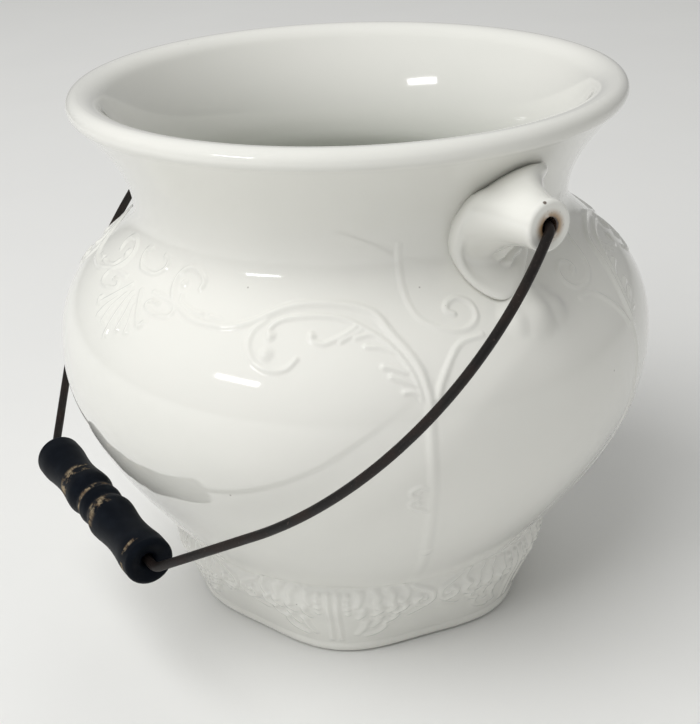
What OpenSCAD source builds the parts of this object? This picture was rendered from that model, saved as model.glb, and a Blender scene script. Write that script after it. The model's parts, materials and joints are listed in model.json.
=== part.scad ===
// Slop jar: moulded white ironstone pail on a lobed foot, with two lugs,
// a bent wire bail and a turned wooden grip. Lug axis along X, bail resting
// on the -Y side, origin on the ground under the middle of the jar.

/* [Jar heights] */
// Height of the pedestal foot
foot_h = 47.5; // [36:0.5:60]
// Height from the foot to the widest part of the belly
belly_rise = 94; // [80:1:110]
// Height from the widest part of the belly to the middle of the shoulder
shoulder_rise = 46.5; // [40:0.5:54]
// Height from the middle of the shoulder to the narrowest part of the neck
neck_rise = 24.5; // [20:0.5:30]
// Height from the narrowest part of the neck to the lip
flare_rise = 45; // [38:0.5:54]

/* [Jar radii] */
// Radius where the belly meets the foot
waist_r = 99.7; // [90:0.1:110]
// Largest radius of the belly
belly_r = 146; // [138:0.5:158]
// Radius at the middle of the shoulder
shoulder_r = 124.6; // [118:0.1:130]
// Smallest radius of the neck
neck_r = 104.4; // [96:0.1:112]
// Outer radius of the rim
rim_r = 130; // [124:0.5:140]
// Slope of the belly where it leaves the foot, radius over height
waist_slope = 0.74; // [0.5:0.01:0.9]
// Slope of the shoulder, radius lost over height
shoulder_slope = 1.22; // [0.9:0.01:1.5]
// Slope of the flare where it reaches the lip
flare_slope = 0.95; // [0.6:0.01:1.2]

/* [Jar walls] */
// Wall of the jar
wall = 7; // [5:0.5:9]
// Thickness of the jar's floor
floor_t = 8; // [6:0.5:12]
// Radius of the fillet inside, between floor and wall
floor_fillet = 20; // [10:1:28]
// Height of the rolled lip
lip_h = 10.5; // [8:0.5:13]
// Width of the lip, from the mouth to the rim
lip_w = 18; // [14:0.5:21]
// How far the lip stands proud of the flare under it
lip_step = 2.2; // [1:0.1:3.5]
// Radius of the lip's inner edge
lip_inner_round = 6; // [3:0.5:7]
// Slope of the mouth's wall under the lip, radius over height
mouth_slope = 0.32; // [0:0.02:0.6]

/* [Foot] */
// Radius of the foot's rolled lower edge, midway between its lobes and hollows
foot_r = 88; // [80:0.5:94]
// How far the lobes stand out and the hollows draw in
lobe_depth = 2.6; // [0:0.1:5]
// Number of lobes round the foot
lobe_count = 6; // [4:1:8]
// Turn of the lobes about the jar, in degrees
lobe_turn = -10; // [-30:1:30]
// Share of their depth that the lobes lose by the top of the foot
lobe_fade = 0.7; // [0:0.05:1]
// Radius of the foot's rolled lower edge, in section
roll_r = 5; // [3:0.5:7]
// Slope of the foot's side where it leaves the rolled edge, radius over height
foot_slope = 0.55; // [0.3:0.05:0.8]
// Slope of the foot's side where it reaches the belly
foot_top_slope = 0.15; // [0:0.05:0.4]
// How far the foot's top edge is set in under the belly
foot_setback = 0.8; // [0:0.1:3]
// Width of the ring that the jar stands on
stand_w = 8; // [5:0.5:12]
// Width of the foot's top ring, against the jar
seat_w = 12; // [8:0.5:18]

/* [Lugs] */
// Depth of the lug axis below the top of the rim
lug_drop = 33.8; // [27:0.1:40]
// How far the lugs reach past the widest part of the belly
lug_proud = 3; // [0:0.5:10]
// Radius of a lug at its tip
lug_tip_r = 10.8; // [8:0.1:12]
// Length of a lug's trumpet, from its tip to the neck
horn_l = 43; // [40:0.5:46]
// Radius to which the trumpet spreads on the neck
horn_r = 32; // [24:0.5:36]
// How late the trumpet spreads: at 1 it is a straight cone
horn_flare = 2; // [1:0.1:4]
// How far the trumpet leans sideways, from its seat on the neck to its tip
horn_lean = 8; // [0:0.5:12]
// How far the trumpet droops, from its seat on the neck to its tip
horn_droop = 3; // [0:0.5:6]
// Share of the flange's outline that the trumpet may cover
horn_share = 0.93; // [0.85:0.01:0.97]
// Rounding of the tip's edge
lug_edge = 1.6; // [0.5:0.1:3]
// Width of the egg-shaped flange on the neck
flange_w = 47; // [40:1:52]
// Length of the flange below its middle
flange_drop = 31; // [26:0.5:36]
// Length of the flange above its middle
flange_top = 30; // [24:0.5:34]
// Depth of the flange's middle below the lug axis
flange_low = 12; // [8:0.5:16]
// How far the flange's middle lies to the side of the lug axis
flange_side = 6; // [0:0.5:10]
// Turn of the flange on the neck, in degrees
flange_turn = 11; // [0:1:25]
// Roundness of the flange's outline: at 2 it is a plain egg, at 1 a diamond
flange_round = 1.55; // [1.3:0.05:2]
// How far the flange stands out from the neck
flange_t = 3.6; // [2:0.1:5]
// Depth of the blind bore
bore_depth = 25; // [18:1:32]
// Radius of the bore's worn mouth
mouth_r = 4.2; // [3.8:0.1:5.5]
// Depth of the bore's worn mouth
mouth_depth = 6; // [4:0.5:10]
// Seam of slip between the jar and what is luted to it
seam = 0.25; // [0.1:0.05:0.4]

/* [Bail] */
// Diameter of the wire
wire_d = 4.2; // [3:0.1:5]
// Play of the wire in the bore, on the radius
bore_play = 0.5; // [0.3:0.05:0.8]
// Gap between the wire's end and the bottom of the bore
pin_gap = 1.5; // [0.5:0.1:3]
// Depth inside the lug's tip at which the wire starts to bend
bend_start = 2.5; // [1.5:0.1:3]
// Radius of the bend at the lug, on the wire's middle line
lug_bend = 4.5; // [4:0.1:8]
// Outward splay of the legs below the lugs, in degrees
splay = 15; // [5:1:20]
// Straight length of wire below the bend
leg_run = 6.6; // [2:0.1:14]
// Radius of the long bow of each leg
bow_r = 160; // [145:1:180]
// Slant at which each leg runs in to the grip, in degrees
run_in = 47; // [40:1:55]
// Radius of the bend at each end of the grip
grip_bend = 8; // [5:0.5:12]

/* [Grip] */
// Length of the wooden grip
grip_l = 117; // [100:1:130]
// Largest radius of the grip
grip_r = 11.3; // [9:0.1:14]
// Depth of the long coves
cove_depth = 1.3; // [0.5:0.1:2.5]
// Depth of the grooves beside the middle bead
groove_depth = 1.5; // [0.5:0.1:2.5]
// How far the middle bead stays below the beads beside it
middle_step = 0.6; // [0:0.1:1]
// How far the end rolls stay below the beads
end_step = 0.3; // [0:0.1:1]
// Rounding of the grip's ends
grip_end_round = 4; // [2:0.5:6]
// Play of the wire in the grip, on the radius
grip_play = 0.3; // [0.2:0.05:0.6]
// Radius of the countersink at the grip's ends
sink_r = 3.7; // [3.2:0.1:5]
// Depth of the countersink
sink_depth = 5; // [3:0.5:8]
// Gap between the grip's end and the start of the wire's bend
grip_end_gap = 1.4; // [0.5:0.1:3]
// Gap between the grip and the belly when the bail lies right in
rest_gap = 0.3; // [0.2:0.05:1]
// Angle at which the bail stands out from there, in degrees
bail_lift = 5.7; // [0:0.1:30]

/* [Hidden] */
$fn = 96;

// Steps along each stretch of the jar's profile, each short arc, the trumpet and the grip
stretch_steps = 9;
arc_steps = 6;
horn_steps = 10;
grip_steps = 24;
// Sides to each lobe of the foot, to the flange's outline and to the trumpet
lobe_sides = 10;
flange_sides = 36;
horn_sides = 48;
// Steps along the belly, and halvings, by which the bail's stop is found
belly_steps = 60;
halvings = 24;
// Cuts run this far past the faces that they open
past = 1;

// Heights stacked up from the ground
belly_z = foot_h + belly_rise;
shoulder_z = belly_z + shoulder_rise;
neck_z = shoulder_z + neck_rise;
flare_z = neck_z + flare_rise;

// Lip: a half round outside, a flat top and a rounded inner edge
lip_round = lip_h / 2;
lip_angle = acos(1 - lip_step / lip_round);
lip_z = flare_z + lip_round * sin(lip_angle);
jar_h = lip_z + lip_round;
mouth_in_r = rim_r - lip_w;

// Wire and lug places
wire_r = wire_d / 2;
lug_z = jar_h - lug_drop;
lug_tip = belly_r + lug_proud;
lug_root = neck_r - wall;

// Straight lengths of wire reach this far into the bends, and are this much thinner
join_l = 0.3;
join_step = 0.02;

// Height and radius along a smooth stretch between two knots [height, radius, slope]
function stretch(a, b, t) =
    let (h = b[0] - a[0], t2 = t * t, t3 = t2 * t)
    [(2 * t3 - 3 * t2 + 1) * a[1] + (t3 - 2 * t2 + t) * h * a[2]
        + (3 * t2 - 2 * t3) * b[1] + (t3 - t2) * h * b[2], a[0] + t * h];

// Points along a chain of knots, as [radius, height]
function smooth(knots, steps = stretch_steps) = concat(
    [for (i = [0 : len(knots) - 2], k = [0 : steps - 1])
        stretch(knots[i], knots[i + 1], k / steps)],
    [[knots[len(knots) - 1][1], knots[len(knots) - 1][0]]]);

// Points along an arc, as [radius, height]
function arc(c, r, from, to, steps = arc_steps) =
    [for (k = [0 : steps]) let (a = from + (to - from) * k / steps)
        c + r * [cos(a), sin(a)]];

// A knot moved square to the profile, inwards by t
function inset(k, t) =
    let (n = sqrt(1 + k[2] * k[2]))
    [k[0] + k[2] * t / n, k[1] - t / n, k[2]];

function backwards(list) = [for (i = [len(list) - 1 : -1 : 0]) list[i]];

// Outside of the jar from foot to lip
waist_knot = [foot_h, waist_r, waist_slope];
belly_knot = [belly_z, belly_r, 0];
shoulder_knot = [shoulder_z, shoulder_r, -shoulder_slope];
neck_knot = [neck_z, neck_r, 0];
flare_knot = [flare_z, rim_r - lip_step, flare_slope];
outside_knots = [waist_knot, belly_knot, shoulder_knot, neck_knot, flare_knot];

// Inside of the jar from floor to mouth
floor_z = foot_h + floor_t;
wall_lean = atan(waist_slope);
floor_rise = floor_fillet * (1 - sin(wall_lean));
floor_wall_r = waist_r + waist_slope * floor_t - wall / cos(wall_lean);
fillet_c = [floor_wall_r + waist_slope * floor_rise - floor_fillet * cos(wall_lean),
    floor_z + floor_fillet];
inside_knots = [
    [floor_z + floor_rise, floor_wall_r + waist_slope * floor_rise, waist_slope],
    inset(belly_knot, wall), inset(shoulder_knot, wall), inset(neck_knot, wall),
    [jar_h - lip_inner_round, mouth_in_r, mouth_slope]];

// Solid revolved form of the jar's outside, grown outwards by g
module jar_form(g = 0) {
    side = smooth([for (k = outside_knots) inset(k, -g)]);
    rotate_extrude()
        polygon(concat([[0, side[0][1]]], side, [[0, side[len(side) - 1][1]]]));
}

module jar_body() {
    lip = concat(
        arc([rim_r - lip_round, lip_z], lip_round, -lip_angle, 90),
        arc([mouth_in_r + lip_inner_round, jar_h - lip_inner_round], lip_inner_round, 90, 180));
    inside = concat(arc(fillet_c, floor_fillet, -90, -wall_lean), smooth(inside_knots));
    color("ivory")
        rotate_extrude()
            polygon(concat([[0, foot_h]], smooth(outside_knots), lip,
                backwards(inside), [[0, floor_z]]));
}

// Outline of the foot midway between lobes and hollows, from the ground to the belly
foot_top_r = waist_r - foot_setback;
roll_c = [foot_r - roll_r, roll_r];
roll_end = 40;
side_start = [roll_c[1] + roll_r * sin(roll_end), roll_c[0] + roll_r * cos(roll_end),
    foot_slope];
side_end = [foot_h, foot_top_r, foot_top_slope];
foot_outline = concat(arc(roll_c, roll_r, -90, roll_end),
    [for (p = smooth([side_start, side_end])) if (p[1] > side_start[0]) p]);

// How far the lobes stand out at an angle and height: most at the ground
function lobe(a, z) =
    -lobe_depth * cos(lobe_count * (a - lobe_turn)) * (1 - lobe_fade * z / foot_h);

// Closed solid lofted through rings of points, each ring with the same number of sides
module loft(rings) {
    sides = len(rings[0]);
    last = len(rings) - 1;
    skin = [for (i = [0 : last - 1], k = [0 : sides - 1])
        let (a = i * sides + k, b = i * sides + (k + 1) % sides)
        each [[a, a + sides, b], [b, a + sides, b + sides]]];
    polyhedron([for (ring = rings) each ring],
        concat(skin, [[for (k = [0 : sides - 1]) k]],
            [[for (k = [sides - 1 : -1 : 0]) last * sides + k]]));
}

// The foot's outside, with rings that follow the lobes
module foot_form() {
    sides = lobe_count * lobe_sides;
    loft([for (p = foot_outline) [for (k = [0 : sides - 1])
        let (a = 360 * k / sides, r = p[0] + lobe(a, p[1]))
        [r * cos(a), r * sin(a), p[1]]]]);
}

module foot() {
    hollow_r = foot_r - roll_r - lobe_depth - stand_w;
    color("ivory")
        difference() {
            foot_form();
            translate([0, 0, -past])
                cylinder(r1 = hollow_r, r2 = foot_top_r - seat_w, h = foot_h + 2 * past);
        }
}

// Radius of the lug's trumpet at a distance x from the jar's axis
function trumpet(x) = lug_tip_r
    + (horn_r - lug_tip_r) * pow((lug_tip - x) / horn_l, horn_flare);

// Middle of the trumpet at a distance x from the jar's axis, about the lug axis
function horn_middle(x) = (lug_tip - x) / horn_l * [horn_lean, horn_droop];

// Outline of the flange, as [width, height] about its middle
function bulge(t) = sign(t) * pow(abs(t), 2 / flange_round);
function flange_point(a) = [flange_w / 2 * bulge(cos(a)),
    (sin(a) < 0 ? flange_drop : flange_top) * bulge(sin(a))];

module along_x() {
    rotate([0, 90, 0]) rotate([0, 0, 90]) children();
}

// A share of the flange's outline, as a solid from inside the neck to past the tip
module flange_solid(share) {
    translate([lug_root, flange_side, lug_z - flange_low]) along_x() rotate(-flange_turn)
        linear_extrude(lug_tip - lug_root + past)
            polygon([for (k = [0 : flange_sides - 1])
                share * flange_point(360 * k / flange_sides)]);
}

// A tapered mouth that opens upwards from r1 to r2
module sink(r1, r2, depth) {
    cylinder(r1 = r1, r2 = r2 + (r2 - r1) * past / depth, h = depth + past);
}

// The lug's trumpet, leaning from its seat on the neck to its tip
module horn_form() {
    side = [for (k = [0 : horn_steps])
        let (x = lug_root + (lug_tip - lug_edge - lug_root) * k / horn_steps) [trumpet(x), x]];
    edge = arc([trumpet(lug_tip - lug_edge) - lug_edge, lug_tip - lug_edge], lug_edge, 0, 90);
    loft([for (p = concat(side, [for (k = [1 : len(edge) - 1]) edge[k]]))
        let (m = horn_middle(p[1]))
        [for (k = [0 : horn_sides - 1]) let (a = 360 * k / horn_sides)
            [p[1], m[0] + p[0] * cos(a), lug_z + m[1] + p[0] * sin(a)]]]);
}

module lug() {
    bore_r = wire_r + bore_play;
    color("ivory")
        difference() {
            union() {
                intersection() {
                    horn_form();
                    flange_solid(horn_share);
                }
                intersection() {
                    jar_form(flange_t);
                    flange_solid(1);
                }
            }
            jar_form(seam);
            translate([lug_tip - bore_depth, 0, lug_z]) along_x()
                cylinder(r = bore_r, h = bore_depth + past);
            translate([lug_tip - mouth_depth, 0, lug_z]) along_x()
                sink(bore_r, mouth_r, mouth_depth);
        }
}

module lug_right() {
    lug();
}

module lug_left() {
    rotate([0, 0, 180]) lug();
}

// Middle line of one half of the wire in the bail's own plane: u out along the lug
// axis, v away from it. Each corner follows from the one before.
bend_u = lug_tip - bend_start;
bend_end = [bend_u + lug_bend * cos(splay), lug_bend * (1 - sin(splay))];
leg_end = bend_end + leg_run * [sin(splay), cos(splay)];
bow_c = leg_end + bow_r * [-cos(splay), sin(splay)];
bow_end = bow_c + bow_r * [cos(run_in), sin(run_in)];
grip_bend_u = grip_l / 2 + grip_end_gap;
grip_bend_end_u = grip_bend_u + grip_bend * cos(run_in);
run_l = (bow_end[0] - grip_bend_end_u) / sin(run_in);
run_end_v = bow_end[1] + run_l * cos(run_in);
grip_v = run_end_v + grip_bend * (1 - sin(run_in));

// The bail can lie in until the grip meets the belly: that angle out from straight down
// is found by halving, on the belly's profile
belly_line = smooth([waist_knot, belly_knot], belly_steps);
function grip_at(a) = [grip_v * sin(a), lug_z - grip_v * cos(a)];
function clear_of_belly(a) =
    min([for (p = belly_line) norm(p - grip_at(a))]) >= grip_r + rest_gap
    && grip_at(a)[0] > waist_r;
function settle(inner, outer, n) =
    n == 0 ? outer
    : let (mid = (inner + outer) / 2)
        clear_of_belly(mid) ? settle(inner, mid, n - 1) : settle(mid, outer, n - 1);
stop_angle = settle(0, 90, halvings);
rest_angle = stop_angle + bail_lift;
echo(stop_angle = stop_angle, lug_z = lug_z, jar_h = jar_h, grip_at = grip_at(rest_angle));

// Puts a form drawn in the bail's plane, with u along X and v along Y, at its rest
module at_rest() {
    translate([0, 0, lug_z]) rotate([270 - rest_angle, 0, 0]) children();
}

// A straight length of wire, run on into the bends at its ends and a hair thinner than
// they are, so that it ends inside them
module rod(from, to) {
    d = to - from;
    translate([from[0], from[1], 0]) rotate([0, 0, atan2(d[1], d[0])]) along_x()
        translate([0, 0, -join_l])
            cylinder(r = wire_r - join_step, h = norm(d) + 2 * join_l);
}

// A bend of wire about c, from one angle to another
module bend(c, r, from, to) {
    translate([c[0], c[1], 0]) rotate([0, 0, from])
        rotate_extrude(angle = to - from) translate([r, 0]) circle(r = wire_r, $fn = 32);
}

module bail_half() {
    rod([lug_tip - bore_depth + pin_gap, 0], [bend_u, 0]);
    bend([bend_u, lug_bend], lug_bend, -90, -splay);
    rod(bend_end, leg_end);
    bend(bow_c, bow_r, -splay, run_in);
    rod(bow_end, [grip_bend_end_u, run_end_v]);
    bend([grip_bend_u, grip_v - grip_bend], grip_bend, run_in, 90);
}

module bail_wire() {
    color("dimgray")
        at_rest() {
            bail_half();
            mirror([1, 0, 0]) bail_half();
            rod([-grip_bend_u, grip_v], [grip_bend_u, grip_v]);
        }
}

// Turned outline of one half of the grip, from its middle to its end: middle bead,
// groove, bead, long cove and end roll, placed in widths of the middle bead's half
bead_w = grip_l / 18;
groove_at = 1;
crest_at = 2;
cove_at = 5;
roll_at = 7.5;
function wave(t) = (1 - cos(180 * t)) / 2;
function turned(x) =
    let (s = min(x / bead_w, roll_at))
    s < groove_at ? grip_r - middle_step - (groove_depth - middle_step) * wave(s / groove_at)
    : s < crest_at ? grip_r - groove_depth * wave((crest_at - s) / (crest_at - groove_at))
    : s < cove_at ? grip_r - cove_depth * wave((s - crest_at) / (cove_at - crest_at))
    : grip_r - end_step - (cove_depth - end_step) * wave((roll_at - s) / (roll_at - cove_at));

module grip() {
    half = grip_l / 2;
    turned_end = half - grip_end_round;
    side = [for (k = [0 : grip_steps])
        let (x = turned_end * k / grip_steps) [turned(x), x]];
    end_r = turned(turned_end);
    round_end = arc([end_r - grip_end_round, turned_end], grip_end_round, 0, 90);
    outline = concat(side, round_end);
    bore_r = wire_r + grip_play;
    color([0.1, 0.1, 0.11])
        at_rest() translate([0, grip_v, 0]) along_x()
            difference() {
                rotate_extrude() polygon(concat(
                    [for (p = backwards(outline)) [p[0], -p[1]]], outline,
                    [[0, half], [0, -half]]));
                translate([0, 0, -half - past]) cylinder(r = bore_r, h = grip_l + 2 * past);
                for (s = [0, 1]) mirror([0, 0, s])
                    translate([0, 0, half - sink_depth]) sink(bore_r, sink_r, sink_depth);
            }
}

jar_body();
foot();
lug_right();
lug_left();
bail_wire();
grip();
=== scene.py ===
# Slop jar: a white moulded ironstone pail with a wire bail and a turned black grip.
# Shapes are drawn in millimetres and degrees; materials, lamps and the camera are in metres.
import json
import math

import bmesh
import bpy
import numpy as np
from mathutils import Matrix, Vector


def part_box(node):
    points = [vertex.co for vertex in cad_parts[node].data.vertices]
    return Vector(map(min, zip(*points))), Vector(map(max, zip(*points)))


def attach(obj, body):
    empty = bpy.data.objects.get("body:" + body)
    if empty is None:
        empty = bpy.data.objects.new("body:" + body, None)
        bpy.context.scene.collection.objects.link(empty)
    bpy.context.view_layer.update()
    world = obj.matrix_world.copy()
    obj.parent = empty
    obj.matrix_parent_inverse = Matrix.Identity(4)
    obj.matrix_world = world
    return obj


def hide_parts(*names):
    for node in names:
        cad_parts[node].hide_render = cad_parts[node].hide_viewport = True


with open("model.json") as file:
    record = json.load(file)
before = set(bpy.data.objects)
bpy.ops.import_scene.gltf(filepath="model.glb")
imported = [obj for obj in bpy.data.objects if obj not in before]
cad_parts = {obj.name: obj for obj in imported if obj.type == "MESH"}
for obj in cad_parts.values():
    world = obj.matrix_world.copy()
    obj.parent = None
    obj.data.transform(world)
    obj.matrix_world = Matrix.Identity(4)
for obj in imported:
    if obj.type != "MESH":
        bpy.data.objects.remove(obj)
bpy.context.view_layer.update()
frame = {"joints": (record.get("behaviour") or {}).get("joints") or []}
mm = 0.001
sharpFold = 48      # a steeper fold than this stays crisp
lineSteps = 6       # pieces between two points of a drawn line
gripLong = 117.0    # the bail's bends clear its ends
scene = bpy.context.scene
joints = {joint["name"]: joint for joint in frame["joints"]}
lugZ = joints["bail_swing"]["pos_m"][2] / mm
gripPlace = Vector(joints["grip_spin"]["pos_m"]) / mm
jarLow, jarHigh = (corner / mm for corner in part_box("jar_body"))
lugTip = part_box("lug_right")[1].x / mm
print("frame loaded, jar", round(jarHigh.z, 1), "mm high")


# small tools for the meshes

def sinD(angle):
    return np.sin(np.radians(angle))


def cosD(angle):
    return np.cos(np.radians(angle))


def hermite(knots, z):
    # radius and slope at height z on a smooth line through knots (height, radius, slope)
    z = np.asarray(z, float)
    radius = np.full(z.shape, float(knots[0][1]))
    slope = np.full(z.shape, float(knots[0][2]))
    for (z0, r0, m0), (z1, r1, m1) in zip(knots[:-1], knots[1:]):
        h = z1 - z0
        t = np.clip((z - z0) / h, 0, 1)
        r = ((2 * t ** 3 - 3 * t ** 2 + 1) * r0 + (t ** 3 - 2 * t ** 2 + t) * h * m0
             + (3 * t ** 2 - 2 * t ** 3) * r1 + (t ** 3 - t ** 2) * h * m1)
        m = ((6 * t ** 2 - 6 * t) * (r0 - r1) / h + (3 * t ** 2 - 4 * t + 1) * m0
             + (3 * t ** 2 - 2 * t) * m1)
        inside = z >= z0
        radius = np.where(inside, r, radius)
        slope = np.where(inside, m, slope)
    return radius, slope


def inset(knot, depth):
    # a knot moved square to the profile, inwards
    z, r, m = knot
    n = math.hypot(1, m)
    return (z + m * depth / n, r - depth / n, m)


def arcPoints(centre, radius, start, end, steps):
    # points (radius, height) along an arc
    turn = np.linspace(start, end, steps + 1)
    return [(centre[0] + radius * cosD(a), centre[1] + radius * sinD(a)) for a in turn]


def smoothLine(points, steps):
    # Catmull-Rom line through a few points
    p = np.asarray(points, float)
    p = np.vstack([2 * p[0] - p[1], p, 2 * p[-1] - p[-2]])
    line = []
    for a, b, c, d in zip(p[:-3], p[1:-2], p[2:-1], p[3:]):
        for t in np.arange(steps) / steps:
            line.append(0.5 * (2 * b + (c - a) * t + (2 * a - 5 * b + 4 * c - d) * t * t
                               + (3 * b - a - 3 * c + d) * t ** 3))
    line.append(p[-2])
    return np.array(line)


def softStep(x, low, high):
    t = np.clip((np.asarray(x, float) - low) / (high - low), 0, 1)
    return t * t * (3 - 2 * t)


def latheMesh(rings, columns):
    # closed skin turned about Z; the first and last ring are points on the axis
    turn = np.arange(columns) * 360 / columns
    points = [(0, 0, rings[0][1])]
    for r, z in rings[1:-1]:
        points += [(r * cosD(a), r * sinD(a), z) for a in turn]
    points.append((0, 0, rings[-1][1]))
    last = len(points) - 1
    faces = []
    for k in range(columns):
        n = (k + 1) % columns
        faces.append((0, n + 1, k + 1))
        for i in range(len(rings) - 3):
            a = 1 + i * columns
            faces.append((a + k, a + n, a + columns + n, a + columns + k))
        faces.append((last, last - columns + k, last - columns + n))
    return np.array(points, float), faces


def ringFaces(rings, count, closed=False):
    # quads between rings of count points; a closed set joins the last ring to the first
    faces = []
    for i in range(rings if closed else rings - 1):
        a = i * count
        b = (i + 1) % rings * count
        for k in range(count):
            n = (k + 1) % count
            faces.append((a + k, a + n, b + n, b + k))
    return faces


def tubeMesh(path, radius, sides):
    # closed tube along a path, turned as little as possible from ring to ring
    path = np.asarray(path, float)
    along = np.gradient(path, axis=0)
    along /= np.linalg.norm(along, axis=1)[:, None]
    side = np.cross(along[0], (0.0, 0.3, 1.0))   # any direction off the path would do
    points = []
    for p, d in zip(path, along):
        side = side - d * side.dot(d)
        side /= np.linalg.norm(side)
        up = np.cross(d, side)
        for a in np.arange(sides) * 360 / sides:
            points.append(p + radius * (side * cosD(a) + up * sinD(a)))
    faces = ringFaces(len(path), sides)
    faces.append(tuple(range(sides - 1, -1, -1)))
    end = (len(path) - 1) * sides
    faces.append(tuple(range(end, end + sides)))
    return np.array(points), faces


def addPiece(name, points, faces, material, body, node):
    # a piece of the object from points in millimetres, on its body and in place of a CAD node
    mesh = bpy.data.meshes.new(name)
    mesh.from_pydata((np.asarray(points) * mm).tolist(), [], [list(f) for f in faces])
    check = bmesh.new()
    check.from_mesh(mesh)
    bmesh.ops.recalc_face_normals(check, faces=check.faces)
    check.to_mesh(mesh)
    check.free()
    mesh.polygons.foreach_set("use_smooth", [True] * len(mesh.polygons))
    mesh.set_sharp_from_angle(angle=math.radians(sharpFold))
    mesh.materials.append(material)
    piece = bpy.data.objects.new(name, mesh)
    scene.collection.objects.link(piece)
    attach(piece, body)
    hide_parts(node)
    print(name, len(mesh.vertices), "points")
    return piece


# materials

class NodeDesk:
    # a short hand for wiring one material's nodes
    def __init__(self, name):
        self.material = bpy.data.materials.new(name)
        self.material.use_nodes = True
        self.nodes = self.material.node_tree.nodes
        self.links = self.material.node_tree.links
        self.shader = self.nodes["Principled BSDF"]

    def add(self, kind, inputs=None, **settings):
        node = self.nodes.new("ShaderNode" + kind)
        for key, value in settings.items():
            setattr(node, key, value)
        for key, value in (inputs or {}).items():
            self.put(node.inputs[key], value)
        return node

    def put(self, socket, value):
        if isinstance(value, bpy.types.NodeSocket):
            self.links.new(value, socket)
        else:
            socket.default_value = value

    def math(self, operation, first, second=0.0):
        node = self.add("Math", {0: first, 1: second}, operation=operation)
        return node.outputs[0]

    def blend(self, share, first, second):
        node = self.add("Mix", data_type="RGBA")
        self.put(node.inputs["Factor"], share)
        self.put(node.inputs["A"], first)
        self.put(node.inputs["B"], second)
        return node.outputs["Result"]

    def ramp(self, share, low, high):
        # 0 below low, 1 above high, soft between
        node = self.add("MapRange", {"Value": share, "From Min": low, "From Max": high},
                        interpolation_type="SMOOTHSTEP")
        return node.outputs["Result"]

    def noise(self, where, scale, detail=3.0, roughness=0.5):
        node = self.add("TexNoise", {"Vector": where, "Scale": scale, "Detail": detail,
                                     "Roughness": roughness})
        return node.outputs["Fac"]


glaze = {
    "white": (0.815, 0.81, 0.765, 1),   # body colour under the glaze
    "cloud": (0.785, 0.785, 0.74, 1),
    "insideShade": (0.60, 0.62, 0.565, 1),    # painted shade: greyer deep inside the jar
    "speck": (0.16, 0.13, 0.11, 1),
    "rust": (0.36, 0.235, 0.125, 1),
    "bore": (0.035, 0.022, 0.016, 1),
    "roughness": 0.09, "coat": 0.6, "coatRoughness": 0.03,
    # each "From" gives the two values between which a share rises from 0 to 1, lengths in metres
    "cloudScale": 9.0, "cloudFrom": (0.35, 0.75),
    "insideShadeFrom": (0.255, 0.16),         # heights in the jar over which the painted shade comes in
    "speckScale": 95.0, "speckRare": 0.93, "speckFrom": (0.062, 0.022), "speckDark": 0.55,
    "rustFrom": (0.0080, 0.0042), "patchScale": 150.0, "patchFrom": (0.24, 0.52),
    "crumbScale": 560.0, "crumbFrom": (0.62, 0.70),
    "boreFrom": (0.0048, 0.0036), "chipFrom": (0.001, 0.0005),
    "waveScale": 26.0, "pitScale": 420.0, "pitShare": 0.02, "bump": 0.05, "bumpDeep": 0.004,
}


def makeGlaze(name, rustAt=None, chipAt=None, inside=False):
    desk = NodeDesk(name)
    where = desk.add("TexCoord").outputs["Object"]
    cloud = desk.noise(where, glaze["cloudScale"], 4.0)
    tint = desk.blend(desk.ramp(cloud, *glaze["cloudFrom"]), glaze["white"], glaze["cloud"])
    if inside:
        # painted shade: the inside turns greyer towards the bottom of the jar
        height = desk.add("SeparateXYZ", {0: where}).outputs[2]
        tint = desk.blend(desk.ramp(height, *glaze["insideShadeFrom"]), tint, glaze["insideShade"])
    # kiln specks: few cells of a cell pattern get a tiny dark dot
    cells = desk.add("TexVoronoi", {"Vector": where, "Scale": glaze["speckScale"]})
    lot = desk.add("SeparateColor", {"Color": cells.outputs["Color"]}).outputs[0]
    chosen = desk.math("GREATER_THAN", lot, glaze["speckRare"])
    dot = desk.ramp(cells.outputs["Distance"], *glaze["speckFrom"])
    speck = desk.math("MULTIPLY", desk.math("MULTIPLY", dot, chosen), glaze["speckDark"])
    tint = desk.blend(speck, tint, glaze["speck"])
    if rustAt:
        # rust washed out of the bore, round its mouth
        offset = desk.add("VectorMath", {0: where, 1: rustAt}, operation="SUBTRACT").outputs[0]
        flat = desk.add("VectorMath", {0: offset, 1: (0, 1, 1)}, operation="MULTIPLY").outputs[0]
        span = desk.add("VectorMath", {0: flat}, operation="LENGTH").outputs["Value"]
        ring = desk.ramp(span, *glaze["rustFrom"])
        patch = desk.ramp(desk.noise(where, glaze["patchScale"], 4.0, 0.6), *glaze["patchFrom"])
        stain = desk.math("MULTIPLY", ring, patch)
        tint = desk.blend(stain, tint, glaze["rust"])
        crumb = desk.ramp(desk.noise(where, glaze["crumbScale"], 3.0, 0.6), *glaze["crumbFrom"])
        tint = desk.blend(desk.math("MULTIPLY", ring, crumb), tint, glaze["bore"])
        tint = desk.blend(desk.ramp(span, *glaze["boreFrom"]), tint, glaze["bore"])
    if chipAt:
        chip = desk.add("VectorMath", {0: where, 1: chipAt}, operation="DISTANCE").outputs["Value"]
        tint = desk.blend(desk.ramp(chip, *glaze["chipFrom"]), tint, glaze["speck"])
    desk.put(desk.shader.inputs["Base Color"], tint)
    # the glaze runs a little uneven
    wave = desk.noise(where, glaze["waveScale"], 2.0)
    pits = desk.noise(where, glaze["pitScale"], 2.0)
    uneven = desk.math("ADD", wave, desk.math("MULTIPLY", pits, glaze["pitShare"]))
    bump = desk.add("Bump", {"Height": uneven, "Strength": glaze["bump"], "Distance": glaze["bumpDeep"]})
    desk.put(desk.shader.inputs["Normal"], bump.outputs[0])
    desk.shader.inputs["Roughness"].default_value = glaze["roughness"]
    desk.shader.inputs["Coat Weight"].default_value = glaze["coat"]
    desk.shader.inputs["Coat Roughness"].default_value = glaze["coatRoughness"]
    return desk.material


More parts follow.
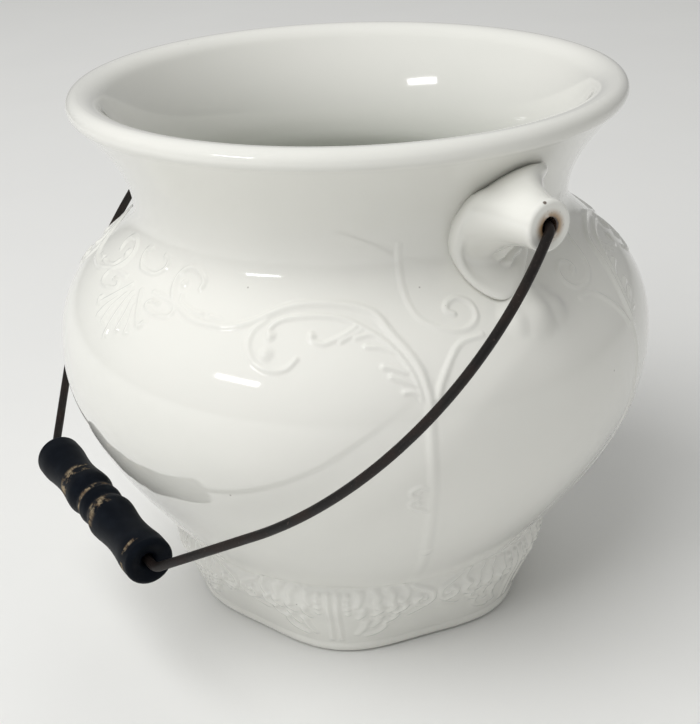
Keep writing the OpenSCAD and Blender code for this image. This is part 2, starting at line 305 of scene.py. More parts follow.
rustyWire = {
    "dark": (0.0048, 0.0038, 0.0035, 1),
    "brown": (0.017, 0.0105, 0.0085, 1),
    "bright": (0.09, 0.07, 0.062, 1),
    "patchScale": 70.0, "patchFrom": (0.38, 0.66),
    "gritScale": 900.0, "rubbedFrom": (0.6, 0.75), "rubbed": 0.5,
    "smooth": 0.45, "rougher": 0.2, "metallic": 0.15, "bump": 0.35, "bumpDeep": 0.0004,
}


def makeWire():
    desk = NodeDesk("rusty_wire")
    where = desk.add("TexCoord").outputs["Object"]
    patches = desk.ramp(desk.noise(where, rustyWire["patchScale"], 5.0, 0.6), *rustyWire["patchFrom"])
    grit = desk.noise(where, rustyWire["gritScale"], 3.0, 0.6)
    tint = desk.blend(patches, rustyWire["dark"], rustyWire["brown"])
    rubbed = desk.math("MULTIPLY", desk.ramp(grit, *rustyWire["rubbedFrom"]), rustyWire["rubbed"])
    tint = desk.blend(rubbed, tint, rustyWire["bright"])
    desk.put(desk.shader.inputs["Base Color"], tint)
    rougher = desk.math("MULTIPLY", patches, rustyWire["rougher"])
    desk.put(desk.shader.inputs["Roughness"], desk.math("ADD", rougher, rustyWire["smooth"]))
    desk.shader.inputs["Metallic"].default_value = rustyWire["metallic"]
    bump = desk.add("Bump", {"Height": grit, "Strength": rustyWire["bump"],
                             "Distance": rustyWire["bumpDeep"]})
    desk.put(desk.shader.inputs["Normal"], bump.outputs[0])
    return desk.material


blackPaint = {
    "paint": (0.0035, 0.005, 0.008, 1),
    "dusty": (0.009, 0.012, 0.017, 1),
    "shine": 0.06,
    "wood": (0.31, 0.25, 0.165, 1),
    "woodDark": (0.10, 0.07, 0.045, 1),
    # worn rings: place along the grip, half width
    "wornBands": [(-22, 5.5), (12, 5.6), (-3, 2.6), (52, 1.4)],
    "wornCore": 0.35,                  # part of a ring's half width that is worn through
    "outwards": -60.0, "downwards": -45.0, "sideShare": 0.07,
    "flakeScale": 130.0, "bareFrom": (0.47, 0.57),
    "grainScale": (30.0, 420.0, 420.0), "grainFrom": (0.35, 0.65),
    "dustScale": 120.0, "dustFrom": (0.45, 0.8), "dust": 0.6,
    "smooth": 0.48, "rougher": 0.25, "grainBump": 0.4, "bump": 0.4, "bumpDeep": 0.0004,
}


def makeWood():
    desk = NodeDesk("worn_black_paint")
    where = desk.add("TexCoord").outputs["Object"]
    offset = desk.add("VectorMath", {0: where, 1: gripPlace * mm}, operation="SUBTRACT").outputs[0]
    split = desk.add("SeparateXYZ", {0: offset})
    along = split.outputs[0]
    # wear is strongest on the side that lies outwards and down
    side = desk.math("ADD", desk.math("MULTIPLY", split.outputs[1], blackPaint["outwards"]),
                     desk.math("MULTIPLY", split.outputs[2], blackPaint["downwards"]))
    bands = []
    for place, half in blackPaint["wornBands"]:
        gap = desk.math("ABSOLUTE", desk.math("SUBTRACT", along, place * mm))
        bands.append(desk.ramp(gap, half * mm, half * mm * blackPaint["wornCore"]))
    worn = bands[0]
    for band in bands[1:]:
        worn = desk.math("MAXIMUM", worn, band)
    flake = desk.noise(where, blackPaint["flakeScale"], 6.0, 0.72)
    share = desk.math("ADD", desk.math("MULTIPLY", side, blackPaint["sideShare"]), flake)
    bare = desk.math("MULTIPLY", worn, desk.ramp(share, *blackPaint["bareFrom"]))
    grainPlace = desk.add("Mapping", {"Vector": where, "Scale": blackPaint["grainScale"]}).outputs[0]
    grain = desk.noise(grainPlace, 1.0, 5.0, 0.6)
    figure = desk.ramp(grain, *blackPaint["grainFrom"])
    wood = desk.blend(figure, blackPaint["woodDark"], blackPaint["wood"])
    grime = desk.ramp(desk.noise(where, blackPaint["dustScale"], 4.0), *blackPaint["dustFrom"])
    dust = desk.math("MULTIPLY", grime, blackPaint["dust"])
    paint = desk.blend(dust, blackPaint["paint"], blackPaint["dusty"])
    desk.put(desk.shader.inputs["Base Color"], desk.blend(bare, paint, wood))
    rough = desk.math("ADD", desk.math("MULTIPLY", bare, blackPaint["rougher"]), blackPaint["smooth"])
    desk.shader.inputs["Specular IOR Level"].default_value = blackPaint["shine"]
    desk.put(desk.shader.inputs["Roughness"], rough)
    height = desk.math("SUBTRACT", desk.math("MULTIPLY", grain, blackPaint["grainBump"]), bare)
    bump = desk.add("Bump", {"Height": height, "Strength": blackPaint["bump"],
                             "Distance": blackPaint["bumpDeep"]})
    desk.put(desk.shader.inputs["Normal"], bump.outputs[0])
    return desk.material


glazeMaterial = makeGlaze("ironstone_glaze")
insideMaterial = makeGlaze("ironstone_glaze_inside", inside=True)
wireMaterial = makeWire()
woodMaterial = makeWood()
print("materials made")


# jar: profile, then the moulded scrollwork

jar = {
    "waistR": 99.7, "waistSlope": 0.74,
    "bellyZ": 141.5,
    "shoulderZ": 188.0, "shoulderR": 124.6, "shoulderSlope": -1.22,
    "neckZ": 212.5, "neckR": 104.4,
    "flareZ": 257.5, "flareR": 127.8, "flareSlope": 0.95,
    "rimR": 130.0, "lipRound": 5.25, "lipAngle": 54.5,
    "mouthRound": 12.75, "mouthSlope": 0.6,
    "wall": 7.0, "floorThick": 8.0, "floorRound": 20.0,
    "columns": 288, "ringStep": 3.0, "roundSteps": 12, "floorSteps": 7, "insideRings": 60,
    "underRings": (40, 80), "floorRings": (60, 25), "tableRows": 400,
    # the inside's glaze starts at this step of the mouth's round, and lies this far behind the outside
    "mouthStep": 4, "insideDepth": 3.0,
}
waistZ = jarLow.z
outsideKnots = [
    (waistZ, jar["waistR"], jar["waistSlope"]),
    (jar["bellyZ"], jarHigh.x, 0),
    (jar["shoulderZ"], jar["shoulderR"], jar["shoulderSlope"]),
    (jar["neckZ"], jar["neckR"], 0),
    (jar["flareZ"], jar["flareR"], jar["flareSlope"]),
]
heightTable = np.linspace(waistZ, jar["flareZ"], jar["tableRows"])
lengthTable = np.concatenate([[0], np.cumsum(np.hypot(
    np.diff(heightTable), np.diff(hermite(outsideKnots, heightTable)[0])))])

# Strokes of the scrollwork on one quarter, as (angle from the lug side, height); the
# other quarters mirror it. Half width and height of the rib go from start to end.
scrollwork = {
    "turn": 5.7,      # the moulds were set a little round from the lugs
    "strokes": [
        # S-scroll with its curled head, running out into the long rib of the belly
        {"line": [(72, 198), (72, 201), (74.5, 204), (77.5, 204), (79.5, 201), (79.5, 197), (77.5, 193),
                  (74.5, 191), (70.5, 189), (66, 188.5), (61.5, 189), (57, 191.5), (53, 195), (49, 197.2),
                  (44, 198), (38, 197.3), (33, 194.5), (30, 188), (27.5, 182), (25.8, 175), (25, 165)],
         "wide": (1.5, 2.3), "high": (0.8, 1.0)},
        {"line": [(25, 168), (25.2, 150), (24.8, 130), (24.5, 110), (24, 90), (23.4, 78)],
         "wide": (2.4, 3.0), "high": (0.7, 0.5)},
        {"line": [(23.5, 80), (23.1, 66), (23.2, 54)], "wide": (3.0, 3.0), "high": (0.5, 0.05)},
        {"line": [(25.8, 125.4), (27, 126.6), (28.4, 125), (28.3, 122), (27.2, 120.4), (28.4, 118.6),
                  (28.2, 115.6), (26.8, 113.4), (25.2, 111)], "wide": (1.2, 1.4), "high": (0.6, 0.5)},
        {"line": [(76, 195), (75, 192.8), (71.5, 191.2), (69, 191)],
         "wide": (1.2, 1.6), "high": (0.5, 0.8)},
        {"line": [(67, 191), (64, 190.5)], "wide": (1.2, 0.9), "high": (0.5, 0.3)},
        # C-scroll: ball, hook and long tail, with the ring round it
        {"line": [(53, 187), (53.5, 189.5), (52, 192), (49.5, 193.3), (46, 194), (42, 194), (38.6, 193),
                  (36, 191), (32.5, 187.5), (29.8, 183), (28, 178), (26.8, 172), (26.2, 166)],
         "wide": (1.5, 1.5), "high": (0.9, 0.7)},
        {"line": [(54.7, 192), (56.5, 189), (57, 185), (55.7, 180.5), (53.7, 178), (51.2, 177), (49, 178),
                  (47.5, 181)], "wide": (1.7, 1.4), "high": (0.6, 0.8)},
        # leaf tips below the tail
        {"line": [(45.2, 188.8), (45, 187), (43, 186), (41, 187), (38.5, 189), (36.5, 191)],
         "wide": (1.5, 1.5), "high": (0.9, 0.7)},
        {"line": [(39.6, 186.6), (38, 188), (35.5, 190)], "wide": (1.4, 1.3), "high": (0.8, 0.6)},
        {"line": [(36.8, 187.6), (34.8, 188.4), (33, 188.2)], "wide": (1.4, 1.3), "high": (0.8, 0.6)},
        {"line": [(35, 185), (32, 184.2), (29.2, 182)], "wide": (1.4, 1.4), "high": (0.9, 0.6)},
        {"line": [(32.2, 178.4), (30.5, 177.6), (28.2, 176)], "wide": (1.5, 1.3), "high": (0.9, 0.6)},
        {"line": [(31, 175), (29, 173.2), (27, 171)], "wide": (1.6, 1.3), "high": (0.9, 0.6)},
        {"line": [(29, 169.2), (27.6, 169), (26.4, 167.5)], "wide": (1.5, 1.3), "high": (0.8, 0.6)},
        # scroll at the foot of the lug, with its spiral, and the arc below
        {"line": [(26.4, 219), (26.4, 210), (26.3, 203), (25.7, 197), (24.2, 192), (21.7, 189),
                  (18.3, 187), (15, 187), (12.7, 189.5), (12.7, 193.5), (15, 196), (17.5, 195.2),
                  (18.3, 193), (17, 191.6)],
         "wide": (1.7, 1.5), "high": (0.3, 0.9)},
        {"line": [(13, 184), (17.4, 183), (20, 179), (22.4, 172), (23.6, 166)],
         "wide": (1.5, 2.0), "high": (0.6, 0.8)},
        # leaf knob under the lug
        {"line": [(0, 190.5), (0, 186.5)], "wide": (9.5, 11.0), "high": (3.8, 4.6)},
        {"line": [(3, 190.5), (4.6, 186)], "wide": (7.0, 8.0), "high": (1.8, 2.6)},
        # palmette: cup, side curls and rays
        {"line": [(90, 197.5), (87, 198), (84.8, 201), (85, 204), (86.8, 205)],
         "wide": (1.4, 1.5), "high": (0.8, 0.8)},
        {"line": [(84, 193), (79, 192.5), (76, 190.5), (76.5, 187.7), (80, 187), (83.5, 188.5),
                  (83, 190.3), (80.5, 190.3)], "wide": (1.2, 1.2), "high": (0.5, 0.8)},
        {"line": [(90, 190), (90, 184), (90, 174)], "wide": (1.2, 1.9), "high": (0.5, 1.0)},
        {"line": [(88.6, 189), (87.4, 184), (87.2, 178)], "wide": (1.1, 1.9), "high": (0.5, 1.0)},
        {"line": [(88, 192), (85, 186.5), (82.4, 182.2), (81.4, 183.2)],
         "wide": (1.1, 1.9), "high": (0.5, 1.0)},
        {"line": [(86.8, 187), (85.2, 182.5), (84.6, 178.6)], "wide": (1.0, 1.8), "high": (0.4, 0.9)},
    ],
    # round eyes: place, radius, height
    "eyes": [(77, 198.5, 2.2, 0.9), (53.2, 182, 3.4, 1.2), (45, 188, 2.0, 1.0), (53, 187.5, 2.6, 1.1),
             (27, 123.6, 1.0, 0.4), (27.1, 117, 1.6, 0.6)],
    "fuller": 1.3, "prouder": 1.1,      # all strokes wider and higher
    "levels": 2, "margin": 1.2,         # how often the mesh is cut finer, and how far past a stroke
}
strokePad = 6.0     # the gap to a stroke is measured this far past its edge
farOff = 99.0


def strokePieces(strokes, eyes, heights, lengths, fuller, prouder):
    # each stroke cut into short straight bits, heights turned into lengths along the profile
    pieces = []
    for stroke in strokes:
        line = smoothLine(stroke["line"], lineSteps)
        share = np.linspace(0, 1, len(line))
        wide = np.interp(share, (0, 1), stroke["wide"]) * fuller
        high = np.interp(share, (0, 1), stroke["high"]) * prouder
        length = np.interp(line[:, 1], heights, lengths)
        knots = np.column_stack([line[:, 0], length, wide, high])
        pieces.append(list(zip(knots[:-1], knots[1:])))
    for angle, height, wide, high in eyes:
        knot = (angle, np.interp(height, heights, lengths), wide * fuller, high * prouder)
        pieces.append([(knot, knot)])
    return pieces


def strokeField(fold, length, reach, pieces):
    # height of the strokes over the ground, and the gap to the nearest stroke's edge
    relief = np.zeros(len(fold))
    gap = np.full(len(fold), farOff)
    for bits in pieces:
        rib = np.zeros(len(fold))
        for (a0, s0, w0, h0), (a1, s1, w1, h1) in bits:
            pad = max(w0, w1) + strokePad
            near = np.abs(length - (s0 + s1) / 2) < abs(s1 - s0) / 2 + pad
            near &= np.abs(fold - (a0 + a1) / 2) * reach < abs(a1 - a0) / 2 * reach + pad
            close = np.nonzero(near)[0]
            if not len(close):
                continue
            px = (fold[close] - a0) * reach[close]
            py = length[close] - s0
            qx = (a1 - a0) * reach[close]
            qy = s1 - s0
            t = np.clip((px * qx + py * qy) / np.maximum(qx * qx + qy * qy, 1e-9), 0, 1)
            away = np.hypot(px - t * qx, py - t * qy)
            wide = w0 + (w1 - w0) * t
            bell = np.cos(np.clip(away / wide, 0, 1) * math.pi / 2) ** 2
            rib[close] = np.maximum(rib[close], (h0 + (h1 - h0) * t) * bell)
            gap[close] = np.minimum(gap[close], away - wide)
        relief = np.cbrt(relief ** 3 + rib ** 3)   # where two ribs meet they melt together
    return relief, gap


jarParts = strokePieces(scrollwork["strokes"], scrollwork["eyes"], heightTable, lengthTable,
                        scrollwork["fuller"], scrollwork["prouder"])


def reliefAt(angle, height):
    # the scrollwork at places on the jar
    fold = np.abs((angle - scrollwork["turn"] + 90) % 180 - 90)
    reach = np.radians(hermite(outsideKnots, height)[0])
    return strokeField(fold, np.interp(height, heightTable, lengthTable), reach, jarParts)


def onOutside(points, margin):
    # which points lie on the outside of the jar, clear of its waist and of its lip
    span = np.hypot(points[:, 0], points[:, 1])
    outer = span > hermite(outsideKnots, points[:, 2])[0] - jar["wall"] / 2
    return outer & (points[:, 2] > waistZ + margin) & (points[:, 2] < jar["flareZ"] - 2 * margin)


def jarSkin(angle, height):
    # points on the outside of the jar, with its scrollwork
    radius, slope = hermite(outsideKnots, height)
    relief = reliefAt(angle, height)[0]
    n = np.hypot(1, slope)
    r = radius + relief / n
    return np.column_stack([r * cosD(angle), r * sinD(angle), height - relief * slope / n])


def buildJar():
    lipZ = jarHigh.z - jar["lipRound"]
    outsideZ = np.interp(np.arange(0, lengthTable[-1], jar["ringStep"]), lengthTable, heightTable)
    outside = [(float(hermite(outsideKnots, z)[0]), z) for z in outsideZ]
    crownR = jar["rimR"] - jar["lipRound"]
    steps = jar["roundSteps"]
    lip = arcPoints((crownR, lipZ), jar["lipRound"], -jar["lipAngle"], 90, steps)
    mouthEnd = 180 - math.degrees(math.atan(jar["mouthSlope"]))
    mouth = arcPoints((crownR, jarHigh.z - jar["mouthRound"]), jar["mouthRound"], 90, mouthEnd, steps)
    lean = math.degrees(math.atan(jar["waistSlope"]))
    floorZ = waistZ + jar["floorThick"]
    floorRise = jar["floorRound"] * (1 - sinD(lean))
    wallR = jar["waistR"] + jar["waistSlope"] * jar["floorThick"] - jar["wall"] / cosD(lean)
    insideKnots = [(floorZ + floorRise, wallR + jar["waistSlope"] * floorRise, jar["waistSlope"])]
    insideKnots += [inset(knot, jar["wall"]) for knot in outsideKnots[1:4]]
    insideKnots.append((mouth[-1][1], mouth[-1][0], jar["mouthSlope"]))
    insideZ = np.linspace(mouth[-1][1], floorZ + floorRise, jar["insideRings"])[1:-1]
    inside = [(float(hermite(insideKnots, z)[0]), z) for z in insideZ]
    corner = (insideKnots[0][1] - jar["floorRound"] * cosD(lean), floorZ + jar["floorRound"])
    bottom = arcPoints(corner, jar["floorRound"], -lean, -90, jar["floorSteps"])
    rings = [(r, waistZ) for r in (0, *jar["underRings"])]
    rings += outside + lip + mouth + inside + bottom
    rings += [(r, floorZ) for r in (*jar["floorRings"], 0)]
    points, faces = latheMesh(rings, jar["columns"])
    sheet = bmesh.new()
    corners = [sheet.verts.new(p) for p in points]
    for face in faces:
        sheet.faces.new([corners[i] for i in face])
    for level in range(scrollwork["levels"]):
        edges = list(sheet.edges)
        middle = np.array([(e.verts[0].co + e.verts[1].co)[:] for e in edges]) / 2
        angle = np.degrees(np.arctan2(middle[:, 1], middle[:, 0]))
        gap = reliefAt(angle, middle[:, 2])[1]
        margin = scrollwork["margin"] * (scrollwork["levels"] - level)
        chosen = [e for e, near in zip(edges, onOutside(middle, 1) & (gap < margin)) if near]
        bmesh.ops.subdivide_edges(sheet, edges=chosen, cuts=1, use_grid_fill=True)
    sheet.verts.index_update()
    place = np.array([v.co[:] for v in sheet.verts])
    outer = onOutside(place, 0.5)
    angle = np.degrees(np.arctan2(place[:, 1], place[:, 0]))
    place[outer] = jarSkin(angle[outer], place[outer][:, 2])
    skin = [[v.index for v in f.verts] for f in sheet.faces]
    sheet.free()
    piece = addPiece("jar_glazed", place, skin, glazeMaterial, "jar", "jar_body")
    piece.data.materials.append(insideMaterial)
    middle = np.array([place[face].mean(axis=0) for face in skin])
    behind = hermite(outsideKnots, np.minimum(middle[:, 2], mouth[-1][1]))[0] - jar["insideDepth"]
    within = (middle[:, 2] > waistZ + 1) & (middle[:, 2] < mouth[jar["mouthStep"]][1])
    within &= np.hypot(middle[:, 0], middle[:, 1]) < behind
    piece.data.polygons.foreach_set("material_index", within.astype(int).tolist())


buildJar()


# foot: lobed ring with its moulded shellwork

foot = {
    "edgeR": 86.8, "rollR": 5.0, "rollEnd": 18.0, "sideSlope": 0.4,
    "sideZ": 22.0, "sideR": 92.6, "swellZ": 38.0, "swellR": 98.6, "topSlope": 0.74,
    "topR": 99.65, "lobes": 6, "lobeTurn": -10.0, "lobeOut": 2.8, "lobeIn": 2.8, "lobeFade": 0.7,
    "lobeEnd": 10.0, "standWide": 8.0, "seatWide": 12.0, "columns": 720, "rows": 60, "rollSteps": 12,
    # soft inner edge of the ring that the foot stands on: out from the hollow, up
    "standEdge": [(0.6, 2.0), (2.5, 0.0)],
    # shellwork on half a lobe, as (angle from the lobe's middle, height)
    "strokes": [
        # flutes of the middle column
        {"line": [(1.4, 10), (1.2, 24), (1.4, 42)], "wide": (1.6, 1.6), "high": (0.6, 1.1)},
        # short leaves that fan out beside it
        {"line": [(7.4, 43), (7.6, 40), (6.8, 36)], "wide": (2.6, 1.8), "high": (1.3, 0.9)},
        {"line": [(8.4, 33), (8.2, 30), (7, 27)], "wide": (2.5, 1.7), "high": (1.4, 0.9)},
        {"line": [(9.2, 23.5), (8.6, 19), (6.6, 14)], "wide": (2.6, 1.8), "high": (1.3, 0.7)},
        {"line": [(11.4, 44), (12.6, 41), (12.2, 37)], "wide": (2.8, 2.0), "high": (1.3, 1.0)},
        {"line": [(12.8, 34.5), (13.4, 32), (11.6, 29)], "wide": (2.6, 1.8), "high": (1.5, 0.9)},
        {"line": [(13.2, 26.5), (12.8, 23), (11, 19.5)], "wide": (2.3, 1.7), "high": (1.2, 0.8)},
        {"line": [(15.4, 44.5), (16.8, 41.5), (16.6, 38)], "wide": (2.8, 2.0), "high": (1.3, 1.0)},
        {"line": [(17, 35.5), (17.4, 33), (15.8, 30.6)], "wide": (2.4, 1.8), "high": (1.5, 1.0)},
        # scalloped edge of the shell
        {"line": [(20, 46), (21.2, 42), (20.6, 38.5), (19.2, 37)],
         "wide": (1.8, 2.0), "high": (0.8, 1.4)},
        {"line": [(19.6, 36.5), (20.8, 33.5), (19.8, 30.6), (17.8, 29.4)],
         "wide": (2.0, 2.0), "high": (1.3, 1.5)},
        {"line": [(17.8, 29), (18.2, 26), (16.8, 23.4), (15, 22.8)],
         "wide": (2.0, 1.9), "high": (1.3, 1.4)},
        {"line": [(15, 22.4), (14.8, 18), (12.6, 14.4), (9, 12.4)],
         "wide": (1.9, 1.6), "high": (1.3, 0.7)},
        # ring scroll with its tails
        {"line": [(22.4, 45), (24, 43), (26.2, 41), (28.6, 38), (28.8, 33.5), (26.8, 30.4), (24.4, 31.4),
                  (23.6, 34.6), (24.8, 37)], "wide": (1.7, 2.1), "high": (0.8, 1.5)},
        {"line": [(27, 30), (24.5, 26.8), (22, 24.4)], "wide": (1.9, 1.3), "high": (1.2, 0.5)},
    ],
    "fuller": 1.35, "prouder": 1.05,
    "eyes": [(26.4, 35, 2.0, 1.2), (4.1, 41.6, 1.7, 1.0), (4.1, 38, 1.7, 1.0), (4.1, 34.4, 1.7, 1.0),
             (4.2, 30.8, 1.7, 1.0)],
}
# the foot is steep, so heights serve as lengths along it
footParts = strokePieces(foot["strokes"], foot["eyes"], (0, waistZ), (0, waistZ),
                         foot["fuller"], foot["prouder"])


def buildFoot():
    rollC = (foot["edgeR"] - foot["rollR"], foot["rollR"])
    roll = arcPoints(rollC, foot["rollR"], -90, foot["rollEnd"], foot["rollSteps"])
    sideKnots = [(roll[-1][1], roll[-1][0], foot["sideSlope"]),
                 (foot["sideZ"], foot["sideR"], foot["sideSlope"]),
                 (foot["swellZ"], foot["swellR"], 0),
                 (waistZ, foot["topR"], foot["topSlope"])]
    sideZ = np.linspace(roll[-1][1], waistZ, foot["rows"] + 1)[1:]
    side = [(float(hermite(sideKnots, z)[0]), z) for z in sideZ]
    hollowR = foot["edgeR"] - foot["rollR"] - foot["lobeIn"] - foot["standWide"]
    seatR = foot["topR"] - foot["seatWide"]
    inner = [(seatR, waistZ), ((hollowR + seatR) / 2, waistZ / 2)]
    inner += [(hollowR + out, up) for out, up in foot["standEdge"]]
    outline = roll + side + inner
    turn = np.arange(foot["columns"]) * 360 / foot["columns"]
    sector = 360 / foot["lobes"]
    fold = np.abs((turn - foot["lobeTurn"]) % sector - sector / 2)
    points = []
    for i, (r, z) in enumerate(outline):
        radius = np.full(len(turn), r)
        if i < len(roll) + len(side):
            wave = 0.5 + 0.5 * cosD(foot["lobes"] * (turn - foot["lobeTurn"]))
            lobe = foot["lobeOut"] - (foot["lobeOut"] + foot["lobeIn"]) * wave
            radius += lobe * (1 - foot["lobeFade"] * z / waistZ) * softStep(waistZ - z, 0, foot["lobeEnd"])
            reach = np.full(len(turn), math.radians(r))
            radius += strokeField(fold, np.full(len(turn), z), reach, footParts)[0]
        points.append(np.column_stack([radius * cosD(turn), radius * sinD(turn), np.full(len(turn), z)]))
    faces = ringFaces(len(outline), len(turn), closed=True)
    addPiece("foot_glazed", np.vstack(points), faces, glazeMaterial, "jar", "foot")


buildFoot()


# lugs: trumpet and egg-shaped flange luted to the neck

lug = {
    "tipR": 10.8, "tipRound": 1.8, "tipEnd": 10, "tipRings": 7,
    # edge of the flange seen along X: direction from the lug's axis, distance, height over the neck,
    # share of the way that the trumpet takes up, depth of the dish behind the rolled edge
    "edge": [(0, 26.0, 5.5, 0.85, 0.4), (15, 25.4, 5.0, 0.92, 0.1), (30, 26.8, 4.8, 0.96, 0.0),
             (45, 22.6, 5.5, 0.96, 0.0), (65, 18.2, 6.6, 0.95, 0.1), (90, 14.1, 7.2, 0.92, 0.2),
             (120, 12.2, 8.0, 0.9, 0.2), (150, 14.2, 8.5, 0.9, 0.2), (170, 15.2, 8.5, 0.88, 0.4),
             (190, 16.8, 8.5, 0.82, 0.7), (210, 20.3, 8.0, 0.76, 1.1), (225, 24.4, 7.0, 0.72, 1.4),
             (240, 29.8, 6.0, 0.7, 1.5), (255, 36.4, 4.8, 0.7, 1.5), (270, 40.4, 4.4, 0.7, 1.5),
             (285, 39.4, 4.4, 0.7, 1.5), (300, 37.6, 5.0, 0.7, 1.5), (330, 33.5, 5.5, 0.75, 1.0)],
    "edgeSteps": 8,
    # the edge stands off the neck by a part of its height, and is cut back below by a part of that
    "overhang": 0.5, "undercut": 0.75,
    # these go from a short run, between tip and edge, to a long one
    "runs": (6, 16), "hornPower": (0.55, 0.46), "fillet": (2.0, 6.0),
    "hornReach": 20.0, "hornPast": 1.5,         # the trumpet's line goes on below the flange
    "rollWide": 3.0, "rollShare": 0.28, "rollReach": 2.4, "rollMost": 0.6, "filletEnd": 3.0,
    "boreR": 2.6, "boreDeep": 25.0, "boreEnd": 0.01,
    "mouthR": 3.2, "mouthTall": 1.15, "mouthDeep": 6.0, "mouthRound": 0.9, "mouthRings": 5,
    "throatR": 2.7, "throatDeep": 2.0,
    "chip": (0.8, -2.5, 10.1),   # on the right lug: back from the tip, sideways, up
    "sides": 144, "rows": 34, "firstRow": 0.015, "rowGrowth": 1.2, "edgeRows": 12, "edgeGrowth": 0.8,
    # the back closes in on this middle, sunk into the wall of the neck
    "middle": (6.0, -12.0), "backParts": (1, 0.5, 0.2, 0.001), "sunk": 2.0,
    # curled leaf under the trumpet: line (y, z) from the lug's axis, half width, height
    "curls": [([(17, -18), (12, -18.5), (8, -21), (5.5, -24)], 4.2, 4.4),
              ([(16.5, -24.5), (12.5, -25.5), (10, -28)], 3.4, 3.6)],
}


def neckX(y, z):
    # where the neck or the shoulder lies behind the lug
    r = hermite(outsideKnots, z)[0]
    return np.sqrt(np.maximum(r * r - y * y, 0))


def flangeOutline():
    # edge of the flange as (y, z) from the lug's axis, with its height, share and dish
    knots = np.array(lug["edge"])
    wrap = np.array([360, 0, 0, 0, 0])
    line = smoothLine(np.vstack([knots[-2:] - wrap, knots, knots[:2] + wrap]), lug["edgeSteps"])
    turn = np.arange(lug["sides"]) * 360 / lug["sides"]
    span, high, share, dish = (np.interp(turn, line[:, 0], column) for column in line[:, 1:].T)
    return np.column_stack([span * cosD(turn), span * sinD(turn)]), high, share, dish


def curlAt(y, z):
    # height of the curled leaf over the flange
    high = np.zeros(len(y))
    for points, wide, top in lug["curls"]:
        line = smoothLine(points, lineSteps)
        away = np.hypot(y[:, None] - line[:, 0], z[:, None] - line[:, 1]).min(axis=1)
        high = np.maximum(high, top * np.cos(np.clip(away / wide, 0, 1) * math.pi / 2) ** 2)
    return high


def buildLug(name, node, around):
    edge, edgeHigh, share, dish = flangeOutline()
    span = np.hypot(edge[:, 0], edge[:, 1])
    out = edge / span[:, None]
    run = span - lug["tipR"]
    rings = []

    def ring(y, z, x):
        rings.append(np.column_stack([np.broadcast_to(x, y.shape), y, lugZ + z]))

    def mouthRing(radius, x, tall=1.0):
        ring(radius * out[:, 0], radius * out[:, 1] * tall, x)

    tall = lug["mouthTall"]
    mouthRing(lug["boreEnd"], lugTip - lug["boreDeep"])
    mouthRing(lug["boreR"], lugTip - lug["boreDeep"])
    mouthRing(lug["boreR"], lugTip - lug["mouthDeep"])
    mouthRing(lug["throatR"], lugTip - lug["throatDeep"], tall)
    soft = lug["mouthRound"]
    for a in np.linspace(0, 90, lug["mouthRings"]):
        mouthRing(lug["mouthR"] + soft - soft * cosD(a), lugTip - soft + soft * sinD(a), tall)
    soft = lug["tipRound"]
    for a in np.linspace(90, lug["tipEnd"], lug["tipRings"]):
        mouthRing(lug["tipR"] - soft + soft * cosD(a), lugTip - soft + soft * sinD(a))
    # out over the trumpet in growing steps, then in finer ones round the rolled edge
    rollWide = np.minimum(lug["rollWide"], run * lug["rollShare"])
    roll = lug["rollReach"] * rollWide
    last = run - np.minimum(run * lug["rollMost"], roll)
    rows = np.linspace(lug["firstRow"], 1, lug["rows"]) ** lug["rowGrowth"]
    edgeRows = np.linspace(0, 1, lug["edgeRows"] + 1)[1:] ** lug["edgeGrowth"]
    steps = [last * part for part in rows] + [last + (run - last) * part for part in edgeRows]
    power = np.interp(run, lug["runs"], lug["hornPower"])
    fillet = np.interp(run, lug["runs"], lug["fillet"])
    reach = lug["hornReach"] * np.tanh(run * share / lug["hornReach"])
    top = lugTip - soft
    for step in steps:
        y, z = ((lug["tipR"] + step)[:, None] * out).T
        inward = run - step
        rise = np.sqrt(np.clip(1 - (1 - np.clip(inward / rollWide, 0, 1)) ** 2, 0, 1))
        thick = edgeHigh * (lug["overhang"] + (1 - lug["overhang"]) * rise)
        thick -= dish * softStep(inward, rollWide, roll)
        flange = neckX(y, lugZ + z) + thick + curlAt(y, z)
        horn = top - (top - flange) * np.minimum(step / reach, lug["hornPast"]) ** power
        lift = np.clip(0.5 + (horn - flange) / (2 * fillet), 0, 1)
        melt = fillet * lift * (1 - lift) * softStep(inward, 0, lug["filletEnd"])
        ring(y, z, flange + (horn - flange) * lift + melt)
    # under the overhanging edge to the neck, and on inside its wall
    under = edge - out * (lug["undercut"] * lug["overhang"] * edgeHigh)[:, None]
    middle = np.array(lug["middle"])
    for part in lug["backParts"]:
        y, z = (middle + part * (under - middle)).T
        ring(y, z, neckX(y, lugZ + z) - lug["sunk"])
    points = np.vstack(rings)
    points[:, :2] *= cosD(around)   # the left lug is the right one turned half round
    faces = ringFaces(len(rings), lug["sides"])
    faces.append(tuple(range(lug["sides"])))
    faces.append(tuple(range(len(points) - lug["sides"], len(points))))
    back, side, up = lug["chip"]
    chip = None if around else ((lugTip - back) * mm, side * mm, (lugZ + up) * mm)
    material = makeGlaze(name + "_glaze", (float(cosD(around)) * lugTip * mm, 0, lugZ * mm), chip)
    addPiece(name, points, faces, material, "jar", node)


buildLug("lug_right_glazed", "lug_right", 0)
buildLug("lug_left_glazed", "lug_left", 180)


# bail: one bent wire, drawn in its own plane and laid out to its rest

bail = {
    "wireR": 2.1, "bendStart": 2.5, "lugBend": 4.5, "splay": 15.0, "legRun": 6.6, "bowR": 160.0,
    "runIn": 47.0, "gripBend": 8.0, "gripGap": 1.4, "pinGap": 1.5,
    "sides": 20, "pinRings": 6, "bendRings": 9, "bowRings": 48, "runRings": 12, "gripRings": 10,
}


